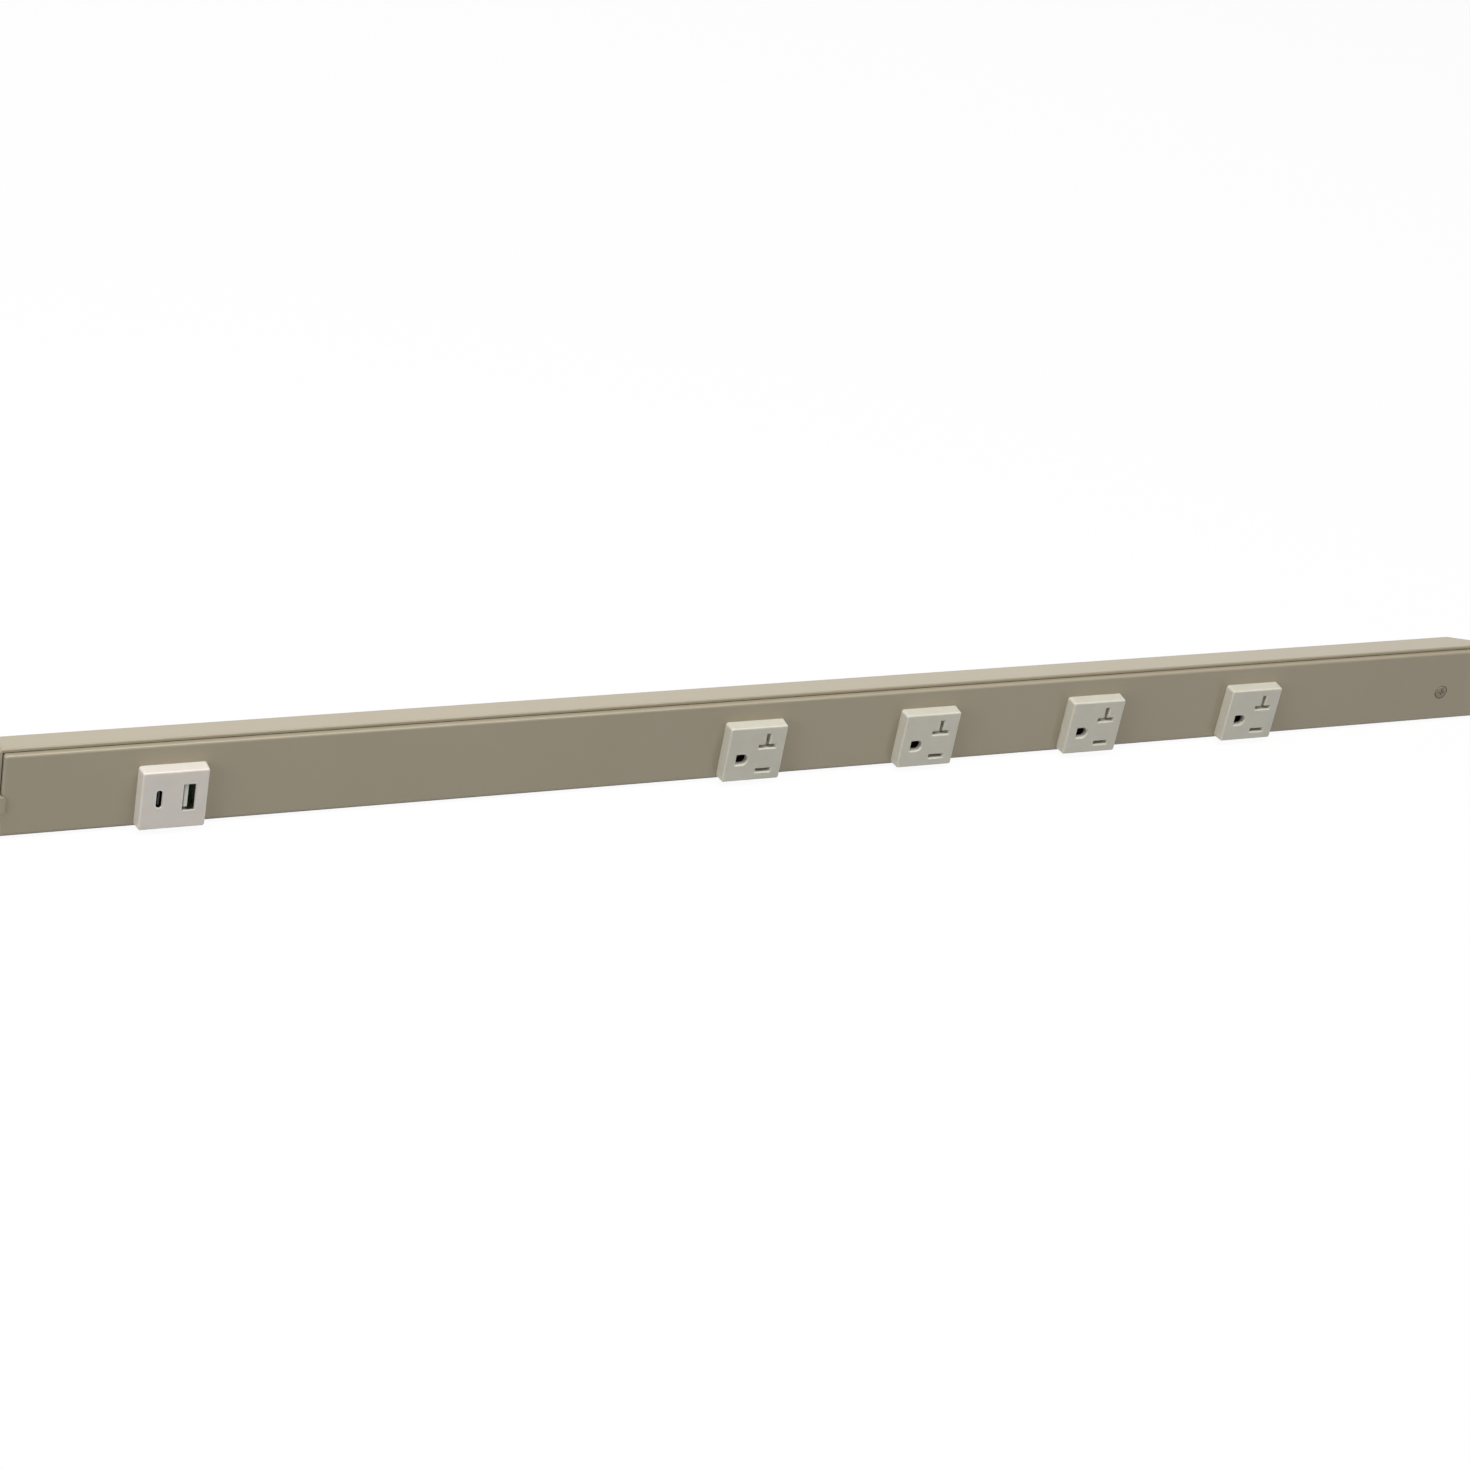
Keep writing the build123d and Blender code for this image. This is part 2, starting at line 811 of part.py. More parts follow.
tongue_a_x = port_a_x - port_a_width / 2 + port_shell + tongue_a_inset + tongue_a / 2
with BuildPart() as port_a_tongue:
    slab(tongue_a_x, port_z, tongue_a, tongue_a_length, board_front, tongue_front)
    chamfer(port_a_tongue.edges().group_by(Axis.Y)[0], length=port_shell)
save(at_module(port_a_tongue.part, charger_x), "port_a_tongue")

with BuildPart() as port_c_shell:
    with BuildSketch(level(board_front)):
        with Locations((port_c_x, port_z)):
            SlotOverall(port_c_length, port_c_width, rotation=90)
            SlotOverall(
                port_c_length - 2 * port_shell,
                port_c_width - 2 * port_shell,
                rotation=90,
                mode=Mode.SUBTRACT,
            )
    extrude(amount=port_front - board_front)
save(at_module(port_c_shell.part, charger_x), "port_c_shell")

with BuildPart() as port_c_tongue:
    slab(port_c_x, port_z, tongue_c, tongue_c_length, board_front, tongue_front)
save(at_module(port_c_tongue.part, charger_x), "port_c_tongue")

# Terminal block at the wired end
terminals = (
    ("line", line_wire, far_terminal),
    ("neutral", neutral_wire, near_terminal),
    ("ground", ground_wire, near_terminal),
)
with BuildPart() as terminal_block:
    slab(
        block_left + block_length / 2,
        block_z,
        block_length,
        block_height,
        housing_sheet,
        block_top,
    )
    chamfer(terminal_block.edges().group_by(Axis.Y)[0], length=hidden_edge)
    for _, wire, reach in terminals:
        with BuildSketch(Plane.YZ.offset(block_left)):
            with Locations((-wire[0], wire[1])):
                Circle(wire_radius)
        extrude(amount=reach + terminal_shank, mode=Mode.SUBTRACT)
        with BuildSketch(level(wire[0])):
            with Locations((block_left + reach, wire[1])):
                Circle(terminal_hole / 2)
        extrude(amount=block_top - wire[0], mode=Mode.SUBTRACT)
    # Entries for the supply conductors on the other side
    with BuildSketch(Plane.YZ.offset(block_right)):
        for entry_z in (block_z - block_entry_pitch, block_z, block_z + block_entry_pitch):
            with Locations((-ground_wire[0], entry_z)):
                Circle(wire_radius)
    extrude(amount=-terminal_shank, mode=Mode.SUBTRACT)
save(terminal_block.part, "terminal_block")

head_top = block_top - hidden_edge
with BuildPart() as terminal_screws:
    for _, wire, reach in terminals:
        with BuildSketch(level(wire[0] + wire_radius)):
            with Locations((block_left + reach, wire[1])):
                Circle(terminal_shank / 2)
        extrude(amount=head_top - wire[0] - wire_radius)
        if head_top - terminal_head_thickness > wire[0] + wire_radius:
            with BuildSketch(level(head_top - terminal_head_thickness)):
                with Locations((block_left + reach, wire[1])):
                    Circle(terminal_head / 2)
            extrude(amount=terminal_head_thickness)
save(terminal_screws.part, "terminal_screws")

# Conductors
wire_left = charger_x - wire_overhang
for name, wire, reach in terminals:
    with BuildPart() as conductor:
        with BuildSketch(Plane.YZ.offset(wire_left)):
            with Locations((-wire[0], wire[1])):
                Circle(wire_radius)
        extrude(amount=block_left + reach + terminal_shank - wire_left)
    save(conductor.part, f"{name}_wire")

# Strap and screw that bond the housing to the ground conductor
with BuildPart() as bond_strap:
    slab(
        (block_right + bond_x + strap_width / 2) / 2,
        bond_z,
        bond_x + strap_width / 2 - block_right,
        strap_width,
        housing_sheet,
        housing_sheet + strap_thickness,
    )
    slab(
        block_right + strap_thickness / 2,
        bond_z,
        strap_thickness,
        strap_width,
        housing_sheet,
        housing_sheet + strap_rise,
    )
    with BuildSketch(level(housing_sheet)):
        with Locations((bond_x, bond_z)):
            Circle(screw_hole / 2)
    extrude(amount=strap_thickness, mode=Mode.SUBTRACT)
save(bond_strap.part, "bond_strap")

bond_seat = housing_sheet + strap_thickness
with BuildPart() as bond_screw:
    with BuildSketch(level(bond_seat)):
        with Locations((bond_x, bond_z)):
            RegularPolygon(bond_head / 2, 6)
    extrude(amount=bond_head_thickness)
    with BuildSketch(level(0)):
        with Locations((bond_x, bond_z)):
            Circle(screw_shank / 2)
    extrude(amount=bond_seat)
save(bond_screw.part, "bond_screw")

# Insulating bushing in the cable entry
bushing_x = right_end - entry_inset
with BuildPart() as cable_bushing:
    with BuildSketch(level(0)):
        with Locations((bushing_x, 0)):
            Circle(entry_diameter / 2 - bushing_gap)
    extrude(amount=housing_sheet)
    with BuildSketch(level(housing_sheet)):
        with Locations((bushing_x, 0)):
            Circle(bushing_flange / 2)
    extrude(amount=bushing_rise)
    chamfer(cable_bushing.edges().sort_by(Axis.Y)[0], length=bushing_edge)
    with BuildSketch(level(0)):
        with Locations((bushing_x, 0)):
            Circle(bushing_bore / 2)
    extrude(amount=housing_sheet + bushing_rise, mode=Mode.SUBTRACT)
save(cable_bushing.part, "cable_bushing")
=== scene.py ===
import bmesh
import bpy
import math
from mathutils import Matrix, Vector


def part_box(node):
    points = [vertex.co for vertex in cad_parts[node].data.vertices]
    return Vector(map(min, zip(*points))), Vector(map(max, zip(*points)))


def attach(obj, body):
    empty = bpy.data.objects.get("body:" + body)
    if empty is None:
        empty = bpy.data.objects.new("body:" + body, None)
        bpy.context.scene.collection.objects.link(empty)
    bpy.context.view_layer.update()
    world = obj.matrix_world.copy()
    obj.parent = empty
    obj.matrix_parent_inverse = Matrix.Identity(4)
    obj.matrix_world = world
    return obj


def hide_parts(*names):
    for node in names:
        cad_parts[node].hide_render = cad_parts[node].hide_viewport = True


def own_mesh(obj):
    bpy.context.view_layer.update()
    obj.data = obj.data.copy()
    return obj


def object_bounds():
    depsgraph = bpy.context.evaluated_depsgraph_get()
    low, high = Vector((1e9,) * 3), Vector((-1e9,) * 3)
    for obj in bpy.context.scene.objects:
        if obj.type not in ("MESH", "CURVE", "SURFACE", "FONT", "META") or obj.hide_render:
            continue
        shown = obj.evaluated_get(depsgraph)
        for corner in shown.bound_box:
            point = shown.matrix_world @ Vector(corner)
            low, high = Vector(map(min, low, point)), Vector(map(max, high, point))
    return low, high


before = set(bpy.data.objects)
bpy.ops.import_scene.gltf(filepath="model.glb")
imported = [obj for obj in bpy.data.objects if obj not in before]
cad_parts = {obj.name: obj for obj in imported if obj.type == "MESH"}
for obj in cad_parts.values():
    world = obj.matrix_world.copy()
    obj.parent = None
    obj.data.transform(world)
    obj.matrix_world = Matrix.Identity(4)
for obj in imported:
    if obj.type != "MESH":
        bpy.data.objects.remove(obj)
cad_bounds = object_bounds()

MM = 0.001

# Sockets of the colour mix node: the two colours that go in and the one that comes out
FIRST_COLOUR = 6
SECOND_COLOUR = 7
MIXED_COLOUR = 2

# Return springs of the shutters
SPRING_WIRE = 0.35 * MM
SPRING_TURNS = 5
STEPS_IN_A_TURN = 24
WIRE_SIDES = 12

# Where the photographer stood, from the middle of the strip's back, and how the camera was
# held, in degrees
CAMERA_PLACE = Vector((-734.7, -1191.2, 743.7)) * MM
CAMERA_TURN = (61.007, -9.862, -24.884)
LENS_LENGTH = 82.76


def linear(hex_colour):
    """The linear RGBA of an sRGB colour such as 8F8270."""
    channels = [int(hex_colour[i:i + 2], 16) / 255 for i in (0, 2, 4)]
    return [c / 12.92 if c <= 0.04045 else ((c + 0.055) / 1.055) ** 2.4 for c in channels] + [1.0]


def grain(millimetres):
    """The texture scale at which one feature is about this wide."""
    return 1 / (millimetres * MM)


def add(tree, kind, values=(), links=(), **settings):
    """One node with its settings, its typed-in values and the sockets that feed it."""
    node = tree.nodes.new(kind)
    for name, value in settings.items():
        setattr(node, name, value)
    for socket, value in dict(values).items():
        node.inputs[socket].default_value = value
    for socket, source in dict(links).items():
        tree.links.new(source, node.inputs[socket])
    return node


def start(name):
    """A material with only its shader, and the object's own coordinates to draw on."""
    material = bpy.data.materials.new(name)
    material.use_nodes = True
    tree = material.node_tree
    tree.nodes.clear()
    shader = add(tree, "ShaderNodeBsdfPrincipled")
    add(tree, "ShaderNodeOutputMaterial", links={"Surface": shader.outputs["BSDF"]})
    place = add(tree, "ShaderNodeTexCoord").outputs["Object"]
    return material, tree, shader, place


def powder_coat(name, dark, light):
    """Polyester powder coat, sprayed on the folded steel and baked."""
    material, tree, shader, place = start(name)
    # An even film: the eye sees only a slow drift of tone where it lies a little thicker
    drift = add(tree, "ShaderNodeTexNoise", {"Scale": grain(70), "Detail": 2.0}, {"Vector": place})
    tone = add(
        tree,
        "ShaderNodeMix",
        {FIRST_COLOUR: linear(dark), SECOND_COLOUR: linear(light)},
        {"Factor": drift.outputs["Fac"]},
        data_type="RGBA",
    )
    # Orange peel about 1.4 mm across softens every reflection
    peel = add(tree, "ShaderNodeTexNoise", {"Scale": grain(1.4), "Detail": 3.0}, {"Vector": place})
    gloss = add(
        tree,
        "ShaderNodeMapRange",
        {"To Min": 0.2, "To Max": 0.28},
        {"Value": peel.outputs["Fac"]},
    )
    skin = add(
        tree,
        "ShaderNodeBump",
        {"Strength": 0.2, "Distance": 0.04 * MM},
        {"Height": peel.outputs["Fac"]},
    )
    tree.links.new(tone.outputs[MIXED_COLOUR], shader.inputs["Base Color"])
    tree.links.new(gloss.outputs["Result"], shader.inputs["Roughness"])
    tree.links.new(skin.outputs["Normal"], shader.inputs["Normal"])
    return material


def let_light_in(shader):
    """Light creeps about a millimetre into a pale resin and softens its shaded edges."""
    shader.inputs["Subsurface Weight"].default_value = 0.8
    shader.inputs["Subsurface Radius"].default_value = (1.0, 0.85, 0.7)
    shader.inputs["Subsurface Scale"].default_value = 1.5 * MM


def moulded_polycarbonate(name, dark, light):
    """Polycarbonate, moulded in a lightly etched tool: pale, with a soft satin sheen."""
    material, tree, shader, place = start(name)
    # Flow of the melt leaves faint clouds, a few millimetres wide
    flow = add(tree, "ShaderNodeTexNoise", {"Scale": grain(6), "Detail": 2.0}, {"Vector": place})
    tone = add(
        tree,
        "ShaderNodeMix",
        {FIRST_COLOUR: linear(dark), SECOND_COLOUR: linear(light)},
        {"Factor": flow.outputs["Fac"]},
        data_type="RGBA",
    )
    # The etch is finer than a pixel, so it is drawn at half a millimetre
    etch = add(tree, "ShaderNodeTexNoise", {"Scale": grain(0.5), "Detail": 2.0}, {"Vector": place})
    gloss = add(
        tree,
        "ShaderNodeMapRange",
        {"To Min": 0.3, "To Max": 0.4},
        {"Value": etch.outputs["Fac"]},
    )
    skin = add(
        tree,
        "ShaderNodeBump",
        {"Strength": 0.2, "Distance": 0.02 * MM},
        {"Height": etch.outputs["Fac"]},
    )
    tree.links.new(tone.outputs[MIXED_COLOUR], shader.inputs["Base Color"])
    tree.links.new(gloss.outputs["Result"], shader.inputs["Roughness"])
    tree.links.new(skin.outputs["Normal"], shader.inputs["Normal"])
    shader.inputs["IOR"].default_value = 1.58
    let_light_in(shader)
    return material


def shutter_acetal():
    """Acetal of the shutters: creamy, waxy and slightly slippery to look at."""
    material, tree, shader, place = start("shutter_acetal")
    wax = add(tree, "ShaderNodeTexNoise", {"Scale": grain(2.5), "Detail": 3.0}, {"Vector": place})
    tone = add(
        tree,
        "ShaderNodeMix",
        {FIRST_COLOUR: linear("EEEBE2"), SECOND_COLOUR: linear("F5F3EC")},
        {"Factor": wax.outputs["Fac"]},
        data_type="RGBA",
    )
    gloss = add(
        tree,
        "ShaderNodeMapRange",
        {"To Min": 0.28, "To Max": 0.42},
        {"Value": wax.outputs["Fac"]},
    )
    tree.links.new(tone.outputs[MIXED_COLOUR], shader.inputs["Base Color"])
    tree.links.new(gloss.outputs["Result"], shader.inputs["Roughness"])
    shader.inputs["IOR"].default_value = 1.48
    let_light_in(shader)
    return material


def glass_filled_nylon():
    """Black nylon with short glass fibres, moulded: matt, with fine pale flecks of fibre."""
    material, tree, shader, place = start("glass_filled_nylon")
    # Fibres lie along the flow of the melt, so the flecks are stretched along the strip
    along = add(tree, "ShaderNodeMapping", {"Scale": (0.25, 1.0, 1.0)}, {"Vector": place})
    fibres = add(
        tree,
        "ShaderNodeTexNoise",
        {"Scale": grain(0.6), "Detail": 4.0, "Roughness": 0.7},
        {"Vector": along.outputs["Vector"]},
    )
    fleck = add(
        tree,
        "ShaderNodeMapRange",
        {"From Min": 0.55, "From Max": 0.75},
        {"Value": fibres.outputs["Fac"]},
    )
    tone = add(
        tree,
        "ShaderNodeMix",
        {FIRST_COLOUR: linear("262624"), SECOND_COLOUR: linear("3A3A37")},
        {"Factor": fleck.outputs["Result"]},
        data_type="RGBA",
    )
    skin = add(
        tree,
        "ShaderNodeBump",
        {"Strength": 0.3, "Distance": 0.03 * MM},
        {"Height": fibres.outputs["Fac"]},
    )
    tree.links.new(tone.outputs[MIXED_COLOUR], shader.inputs["Base Color"])
    tree.links.new(skin.outputs["Normal"], shader.inputs["Normal"])
    shader.inputs["Roughness"].default_value = 0.62
    return material


def stamped_brass():
    """Cartridge brass strip, stamped and folded: yellow, with rolling lines and some tarnish."""
    material, tree, shader, place = start("stamped_brass")
    stretched = add(tree, "ShaderNodeMapping", {"Scale": (6.0, 1.0, 1.0)}, {"Vector": place})
    rolling = add(
        tree,
        "ShaderNodeTexNoise",
        {"Scale": grain(1.8), "Detail": 2.0},
        {"Vector": stretched.outputs["Vector"]},
    )
    tarnish = add(tree, "ShaderNodeTexNoise", {"Scale": grain(4), "Detail": 4.0}, {"Vector": place})
    tone = add(
        tree,
        "ShaderNodeMix",
        {FIRST_COLOUR: linear("C9A25A"), SECOND_COLOUR: linear("E0BD74")},
        {"Factor": tarnish.outputs["Fac"]},
        data_type="RGBA",
    )
    gloss = add(
        tree,
        "ShaderNodeMapRange",
        {"To Min": 0.2, "To Max": 0.42},
        {"Value": rolling.outputs["Fac"]},
    )
    tree.links.new(tone.outputs[MIXED_COLOUR], shader.inputs["Base Color"])
    tree.links.new(gloss.outputs["Result"], shader.inputs["Roughness"])
    shader.inputs["Metallic"].default_value = 1.0
    return material


def spring_wire():
    """Music wire, drawn through a die and coiled: grey, with lines along its length."""
    material, tree, shader, place = start("spring_wire")
    drawing = add(
        tree,
        "ShaderNodeTexWave",
        {"Scale": grain(3), "Distortion": 4.0, "Detail": 2.0},
        {"Vector": place},
        bands_direction="Z",
    )
    tone = add(
        tree,
        "ShaderNodeMix",
        {FIRST_COLOUR: linear("8C8C8A"), SECOND_COLOUR: linear("B4B4B0")},
        {"Factor": drawing.outputs["Fac"]},
        data_type="RGBA",
    )
    tree.links.new(tone.outputs[MIXED_COLOUR], shader.inputs["Base Color"])
    shader.inputs["Metallic"].default_value = 1.0
    shader.inputs["Roughness"].default_value = 0.3
    return material


def zinc_plate():
    """Steel with clear zinc plate: a bluish grey that is slightly cloudy and finely pitted."""
    material, tree, shader, place = start("zinc_plate")
    cloud = add(tree, "ShaderNodeTexNoise", {"Scale": grain(2.2), "Detail": 5.0}, {"Vector": place})
    tone = add(
        tree,
        "ShaderNodeMix",
        {FIRST_COLOUR: linear("A3A7AA"), SECOND_COLOUR: linear("C3C6C7")},
        {"Factor": cloud.outputs["Fac"]},
        data_type="RGBA",
    )
    gloss = add(
        tree,
        "ShaderNodeMapRange",
        {"To Min": 0.28, "To Max": 0.5},
        {"Value": cloud.outputs["Fac"]},
    )
    tree.links.new(tone.outputs[MIXED_COLOUR], shader.inputs["Base Color"])
    tree.links.new(gloss.outputs["Result"], shader.inputs["Roughness"])
    shader.inputs["Metallic"].default_value = 1.0
    return material


def nickel_plate():
    """Deep drawn port shell with bright nickel plate: warm silver with faint drawing lines."""
    material, tree, shader, place = start("nickel_plate")
    stretched = add(tree, "ShaderNodeMapping", {"Scale": (1.0, 0.12, 1.0)}, {"Vector": place})
    lines = add(
        tree,
        "ShaderNodeTexNoise",
        {"Scale": grain(0.4), "Detail": 3.0},
        {"Vector": stretched.outputs["Vector"]},
    )
    tone = add(
        tree,
        "ShaderNodeMix",
        {FIRST_COLOUR: linear("B9B6AF"), SECOND_COLOUR: linear("D2CFC7")},
        {"Factor": lines.outputs["Fac"]},
        data_type="RGBA",
    )
    gloss = add(
        tree,
        "ShaderNodeMapRange",
        {"To Min": 0.16, "To Max": 0.3},
        {"Value": lines.outputs["Fac"]},
    )
    tree.links.new(tone.outputs[MIXED_COLOUR], shader.inputs["Base Color"])
    tree.links.new(gloss.outputs["Result"], shader.inputs["Roughness"])
    shader.inputs["Metallic"].default_value = 1.0
    return material


def gold_flash():
    """Phosphor bronze with a thin flash of gold, as on the contact strips of a port."""
    material, tree, shader, place = start("gold_flash")
    wear = add(tree, "ShaderNodeTexNoise", {"Scale": grain(0.8), "Detail": 3.0}, {"Vector": place})
    tone = add(
        tree,
        "ShaderNodeMix",
        {FIRST_COLOUR: linear("D9B25E"), SECOND_COLOUR: linear("F0CE82")},
        {"Factor": wear.outputs["Fac"]},
        data_type="RGBA",
    )
    tree.links.new(tone.outputs[MIXED_COLOUR], shader.inputs["Base Color"])
    shader.inputs["Metallic"].default_value = 1.0
    shader.inputs["Roughness"].default_value = 0.22
    return material


def speckled_plastic(name, dark, light, size, roughness):
    """A plain engineering plastic whose tone wavers between two close colours."""
    material, tree, shader, place = start(name)
    waver = add(
        tree,
        "ShaderNodeTexNoise",
        {"Scale": grain(size), "Detail": 3.0},
        {"Vector": place},
    )
    tone = add(
        tree,
        "ShaderNodeMix",
        {FIRST_COLOUR: linear(dark), SECOND_COLOUR: linear(light)},
        {"Factor": waver.outputs["Fac"]},
        data_type="RGBA",
    )
    skin = add(
        tree,
        "ShaderNodeBump",
        {"Strength": 0.2, "Distance": 0.02 * MM},
        {"Height": waver.outputs["Fac"]},
    )
    tree.links.new(tone.outputs[MIXED_COLOUR], shader.inputs["Base Color"])
    tree.links.new(skin.outputs["Normal"], shader.inputs["Normal"])
    shader.inputs["Roughness"].default_value = roughness
    return material


def wire_jacket(name, dark, light):
    """Clear nylon over coloured vinyl, extruded: glossy, with long faint streaks."""
    material, tree, shader, place = start(name)
    along = add(tree, "ShaderNodeMapping", {"Scale": (0.03, 1.0, 1.0)}, {"Vector": place})
    streaks = add(
        tree,
        "ShaderNodeTexNoise",
        {"Scale": grain(0.7), "Detail": 2.0},
        {"Vector": along.outputs["Vector"]},
    )
    tone = add(
        tree,
        "ShaderNodeMix",
        {FIRST_COLOUR: linear(dark), SECOND_COLOUR: linear(light)},
        {"Factor": streaks.outputs["Fac"]},
        data_type="RGBA",
    )
    tree.links.new(tone.outputs[MIXED_COLOUR], shader.inputs["Base Color"])
    shader.inputs["Roughness"].default_value = 0.24
    shader.inputs["Coat Weight"].default_value = 0.4
    shader.inputs["Coat Roughness"].default_value = 0.12
    return material


def board_laminate():
    """Epoxy glass board under green lacquer: the weave of the cloth shows faintly through it."""
    material, tree, shader, place = start("board_laminate")
    # The board stands upright, so the weave runs along X and Z; its threads are 0.7 mm apart
    upright = add(
        tree,
        "ShaderNodeMapping",
        {"Rotation": (math.radians(90), 0.0, 0.0)},
        {"Vector": place},
    )
    weave = add(
        tree,
        "ShaderNodeTexChecker",
        {"Scale": grain(0.7), "Color1": linear("0F5A2B"), "Color2": linear("147036")},
        {"Vector": upright.outputs["Vector"]},
    )
    tree.links.new(weave.outputs["Color"], shader.inputs["Base Color"])
    shader.inputs["Roughness"].default_value = 0.28
    return material


def copper_strap():
    """Bare copper strip, cut from a roll: salmon pink, with brown patches from handling."""
    material, tree, shader, place = start("copper_strap")
    patches = add(tree, "ShaderNodeTexNoise", {"Scale": grain(5), "Detail": 4.0}, {"Vector": place})
    tone = add(
        tree,
        "ShaderNodeMix",
        {FIRST_COLOUR: linear("A9654A"), SECOND_COLOUR: linear("DE9C7C")},
        {"Factor": patches.outputs["Fac"]},
        data_type="RGBA",
    )
    gloss = add(
        tree,
        "ShaderNodeMapRange",
        {"To Min": 0.45, "To Max": 0.2},
        {"Value": patches.outputs["Fac"]},
    )
    tree.links.new(tone.outputs[MIXED_COLOUR], shader.inputs["Base Color"])
    tree.links.new(gloss.outputs["Result"], shader.inputs["Roughness"])
    shader.inputs["Metallic"].default_value = 1.0
    return material


def green_zinc():
    """Zinc plate dyed green, the mark of a bonding screw: metallic, thinner where it is worn."""
    material, tree, shader, place = start("green_zinc")
    wear = add(tree, "ShaderNodeTexNoise", {"Scale": grain(1.5), "Detail": 4.0}, {"Vector": place})
    tone = add(
        tree,
        "ShaderNodeMix",
        {FIRST_COLOUR: linear("1F6B3A"), SECOND_COLOUR: linear("4E9A66")},
        {"Factor": wear.outputs["Fac"]},
        data_type="RGBA",
    )
    tree.links.new(tone.outputs[MIXED_COLOUR], shader.inputs["Base Color"])
    shader.inputs["Metallic"].default_value = 0.9
    shader.inputs["Roughness"].default_value = 0.34
    return material


def dress_nodes():
    """Gives every CAD node the material of its own kind."""
    paint = powder_coat("powder_coat", "9E947D", "A59B85")
    face = moulded_polycarbonate("outlet_polycarbonate", "CDCABD", "D4D1C4")
    charger = moulded_polycarbonate("charger_polycarbonate", "DBD5CD", "E2DCD4")
    rear = glass_filled_nylon()
    brass = stamped_brass()
    zinc = zinc_plate()
    nickel = nickel_plate()
    finishes = {
        "back_housing": paint,
        "front_cover": paint,
        # The screw head's coat is painted darker than the cover's, as painted shade for the dimple
        # it sits in
        "cover_screw": powder_coat("screw_coat_painted_shade", "857B68", "8C826F"),
        "cover_post": zinc,
        "terminal_screws": zinc,
        "cable_bushing": speckled_plastic("bushing_nylon", "1D1D1C", "2B2B2A", 1.5, 0.5),
        "terminal_block": speckled_plastic("ivory_polyamide", "C9C3B1", "D4CFBE", 2.0, 0.55),
        "bond_strap": copper_strap(),
        "bond_screw": green_zinc(),
        "line_wire": wire_jacket("black_jacket", "161616", "242424"),
        "neutral_wire": wire_jacket("white_jacket", "D2D1CB", "E0DFD9"),
        "ground_wire": wire_jacket("green_jacket", "14602C", "1E7A3B"),
        "charger_face": charger,
        "charger_body": rear,
        "charger_board": board_laminate(),
        "charger_transformer": speckled_plastic("polyester_tape", "C79A2E", "D9AC3C", 3.0, 0.35),
        "charger_capacitor": speckled_plastic("capacitor_sleeve", "23283C", "2E3550", 2.0, 0.3),
        "charger_line_tap": brass,
        "charger_neutral_tap": brass,
        "port_a_shell": nickel,
        "port_c_shell": nickel,
        "port_a_tongue": speckled_plastic("white_crystal_polymer", "D8D6CF", "E4E2DB", 1.2, 0.45),
        "port_c_tongue": speckled_plastic("black_crystal_polymer", "1A1A1A", "262626", 1.2, 0.45),
        "outlet_face": face,
        "outlet_body": rear,
        "shutter": shutter_acetal(),
        "shutter_spring": spring_wire(),
        "line_contact": brass,
        "neutral_contact": brass,
        "ground_contact": brass,
    }
    for name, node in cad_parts.items():
        kind = name.rstrip("0123456789").rstrip("_")
        node.data.materials.clear()
        node.data.materials.append(finishes[kind])


def choose(test):
    """Selects, in edit mode, the edges or faces for which the test is true."""
    mesh = bmesh.from_edit_mesh(bpy.context.object.data)
    bpy.ops.mesh.select_all(action="DESELECT")
    picks_faces = bpy.context.tool_settings.mesh_select_mode[2]
    parts = mesh.faces if picks_faces else mesh.edges
    for part in parts:
        part.select_set(test(part))
    bmesh.update_edit_mesh(bpy.context.object.data)


def copy_of(piece, move):
    """A moved copy of a finished piece, with its own mesh."""
    bpy.ops.object.select_all(action="DESELECT")
    piece.select_set(True)
    bpy.context.view_layer.objects.active = piece
    bpy.ops.object.duplicate(linked=False)
    bpy.ops.transform.translate(value=move)
    bpy.ops.object.transform_apply(location=True, rotation=True, scale=True)
    return bpy.context.object


def contact_strips(gold, port, pitch_places, width, proud, length, setback, sides):
    """Flat sprung contacts pressed into the tongue of a port, with their noses tucked in."""
    low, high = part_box(f"{port}_tongue")
    middle = (low + high) / 2
    tip = low.y + setback
    nose_sink = proud * 1.5
    nose_length = 4 * proud
    edge_round = proud * 0.3
    for side in sides:
        face = high.x if side > 0 else low.x
        bpy.ops.object.select_all(action="DESELECT")
        bpy.ops.mesh.primitive_cube_add(
            size=1,
            location=(face + side * proud / 2, tip + length / 2, middle.z + pitch_places[0]),
            scale=(proud, length, width),
        )
        bpy.ops.object.transform_apply(location=True, rotation=True, scale=True)
        bpy.ops.object.mode_set(mode="EDIT")
        # The end towards the plug is drawn out into a nose that dips into the tongue
        bpy.ops.mesh.select_mode(type="FACE")
        choose(lambda part: part.normal.y < -0.9)
        bpy.ops.mesh.extrude_region_move(
            TRANSFORM_OT_translate={"value": (-side * nose_sink, -nose_length, 0)}
        )
        # The edges that the plug rubs against are rounded
        bpy.ops.mesh.select_mode(type="EDGE")
        near_top = face + side * proud * 0.9
        choose(lambda part: all(side * (vert.co.x - near_top) > 0 for vert in part.verts))
        bpy.ops.mesh.bevel(offset=edge_round, segments=2)
        bpy.ops.object.mode_set(mode="OBJECT")
        first = bpy.context.object
        row = [first]
        for place in pitch_places[1:]:
            row.append(copy_of(first, (0, 0, place - pitch_places[0])))
        hand = "right" if side > 0 else "left"
        for number, piece in enumerate(row, start=1):
            piece.name = f"{port}_contact_{hand}_{number}"
            piece.data.name = piece.name
            piece.data.materials.append(gold)
            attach(piece, "strip")


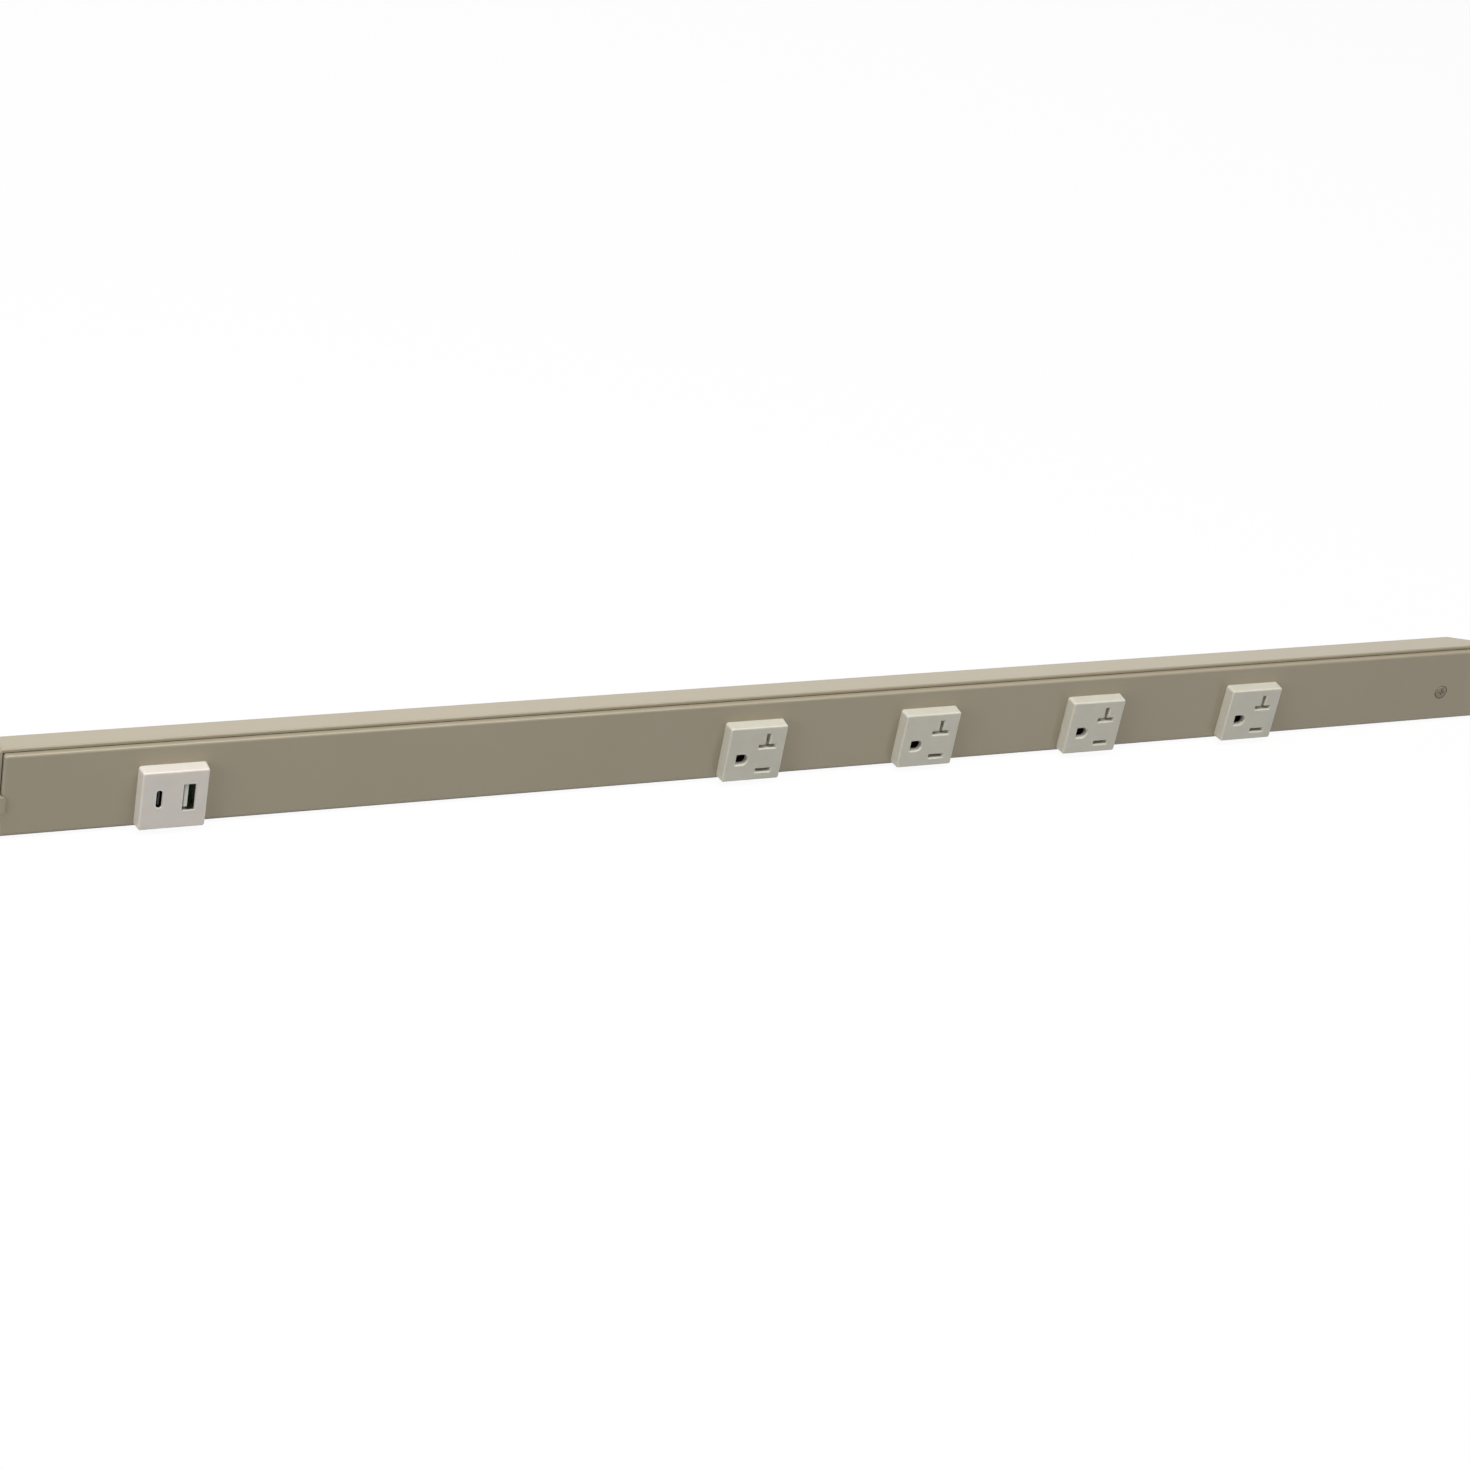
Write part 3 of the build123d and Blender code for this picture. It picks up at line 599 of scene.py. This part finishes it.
def port_contacts():
    """Four contacts on the wide tongue, and twelve on each side of the narrow one."""
    gold = gold_flash()
    contact_strips(
        gold,
        "port_a",
        [place * MM for place in (-3.5, -1.0, 1.0, 3.5)],
        width=1.0 * MM,
        proud=0.12 * MM,
        length=7.2 * MM,
        setback=1.3 * MM,
        sides=(1,),
    )
    # Half a millimetre apart, six above the middle and six below
    contact_strips(
        gold,
        "port_c",
        [(place - 5.5) * 0.5 * MM for place in range(12)],
        width=0.27 * MM,
        proud=0.05 * MM,
        length=3.6 * MM,
        setback=0.5 * MM,
        sides=(-1, 1),
    )


def return_springs():
    """Coiled return springs on their seats, wound to the height of the first spring and copied to
    the others.
    """
    low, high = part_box("shutter_spring_1")
    middle = (low + high) / 2
    coil_height = high.z - low.z - SPRING_WIRE
    start_height = low.z + SPRING_WIRE / 2
    # The round section of the wire stands at the edge of the coil and is wound up round its axis
    bpy.ops.object.select_all(action="DESELECT")
    bpy.ops.mesh.primitive_circle_add(
        vertices=WIRE_SIDES,
        radius=SPRING_WIRE / 2,
        location=(middle.x, middle.y, start_height),
    )
    bpy.ops.object.mode_set(mode="EDIT")
    bpy.ops.mesh.select_all(action="SELECT")
    bpy.ops.transform.rotate(
        value=math.radians(90),
        orient_axis="X",
        center_override=(middle.x, middle.y, start_height),
    )
    bpy.ops.transform.translate(value=((high.x - low.x - SPRING_WIRE) / 2, 0, 0))
    bpy.ops.object.mode_set(mode="OBJECT")
    bpy.ops.object.modifier_add(type="SCREW")
    winding = bpy.context.object.modifiers[-1]
    winding.axis = "Z"
    winding.angle = 2 * math.pi * SPRING_TURNS
    winding.screw_offset = coil_height
    winding.steps = winding.render_steps = STEPS_IN_A_TURN * SPRING_TURNS
    bpy.ops.object.modifier_apply(modifier=winding.name)
    bpy.ops.object.transform_apply(location=True, rotation=True, scale=True)
    # Both cut ends of the wire are closed
    bpy.ops.object.mode_set(mode="EDIT")
    bpy.ops.mesh.select_all(action="SELECT")
    bpy.ops.mesh.fill_holes(sides=0)
    bpy.ops.mesh.select_all(action="SELECT")
    bpy.ops.mesh.normals_make_consistent(inside=False)
    bpy.ops.object.mode_set(mode="OBJECT")
    bpy.ops.object.shade_smooth_by_angle(angle=math.radians(50))

    first = bpy.context.object
    row = [first]
    for number in (2, 3, 4):
        row.append(copy_of(first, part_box(f"shutter_spring_{number}")[0] - low))
    for number, spring in enumerate(row, start=1):
        node = f"shutter_spring_{number}"
        spring.name = f"return_spring_{number}"
        spring.data.name = spring.name
        spring.data.materials.append(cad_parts[node].data.materials[0])
        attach(spring, "strip")
        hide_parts(node)
        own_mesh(spring)


def plain_sight(tree):
    """One for what is seen straight, in a reflection or through glass; zero for soft light."""
    seen = add(tree, "ShaderNodeLightPath")
    direct = add(
        tree,
        "ShaderNodeMath",
        links={0: seen.outputs["Is Camera Ray"], 1: seen.outputs["Is Glossy Ray"]},
        operation="ADD",
    )
    through = add(
        tree,
        "ShaderNodeMath",
        links={0: direct.outputs[0], 1: seen.outputs["Is Transmission Ray"]},
        operation="ADD",
        use_clamp=True,
    )
    return through.outputs[0]


def studio():
    """A white floor and surround, and soft lamps overhead, at the left and behind."""
    hair_gap = 0.2 * MM
    bpy.ops.mesh.primitive_plane_add(size=8, location=(0, 0, cad_bounds[0].z - hair_gap))
    floor = bpy.context.object
    floor.name = "floor"
    material = bpy.data.materials.new("white_floor")
    material.use_nodes = True
    tree = material.node_tree
    tree.nodes.clear()
    # Seen plainly, most of the floor's white is its own, and the rest shows the shadow
    own_white = 0.86
    paper = add(tree, "ShaderNodeBsdfDiffuse", {"Color": linear("A2A2A2")})
    glow = add(tree, "ShaderNodeEmission", {"Strength": 1.1})
    share = add(
        tree,
        "ShaderNodeMath",
        {1: own_white},
        {0: plain_sight(tree)},
        operation="MULTIPLY",
    )
    blend = add(
        tree,
        "ShaderNodeMixShader",
        links={0: share.outputs[0], 1: paper.outputs[0], 2: glow.outputs[0]},
    )
    add(tree, "ShaderNodeOutputMaterial", links={"Surface": blend.outputs[0]})
    floor.data.materials.append(material)

    world = bpy.data.worlds.new("surround")
    bpy.context.scene.world = world
    world.use_nodes = True
    tree = world.node_tree
    tree.nodes.clear()
    soft = add(tree, "ShaderNodeBackground", {"Color": linear("FFFFFF"), "Strength": 0.28})
    white = add(tree, "ShaderNodeBackground", {"Color": linear("FFFFFF"), "Strength": 1.0})
    sky = add(
        tree,
        "ShaderNodeMixShader",
        links={0: plain_sight(tree), 1: soft.outputs[0], 2: white.outputs[0]},
    )
    add(tree, "ShaderNodeOutputWorld", links={"Surface": sky.outputs[0]})

    # Each lamp's place and size in metres, and its power in watts
    for name, place, size, power in (
        ("overhead_softbox", (-0.2, -0.42, 1.4), (2.2, 0.5), 23.5),
        ("left_softbox", (-1.6, -0.6, 0.6), (0.8, 0.8), 6.5),
        ("back_softbox", (0.45, 1.3, 0.85), (2.4, 0.7), 4.3),
    ):
        bpy.ops.object.light_add(type="AREA", location=place)
        lamp = bpy.context.object
        lamp.name = name
        lamp.data.shape = "RECTANGLE"
        lamp.data.size, lamp.data.size_y = size
        lamp.data.energy = power
        lamp.rotation_euler = (-Vector(place)).to_track_quat("-Z", "Y").to_euler()


def photographer():
    """The camera, at the photograph's viewing angle."""
    bpy.ops.object.camera_add(
        location=CAMERA_PLACE,
        rotation=[math.radians(angle) for angle in CAMERA_TURN],
    )
    camera = bpy.context.object
    camera.data.lens = LENS_LENGTH
    camera.data.clip_start = 0.01
    bpy.context.scene.camera = camera


dress_nodes()
port_contacts()
return_springs()
studio()
photographer()
bpy.context.scene.view_settings.view_transform = "Standard"
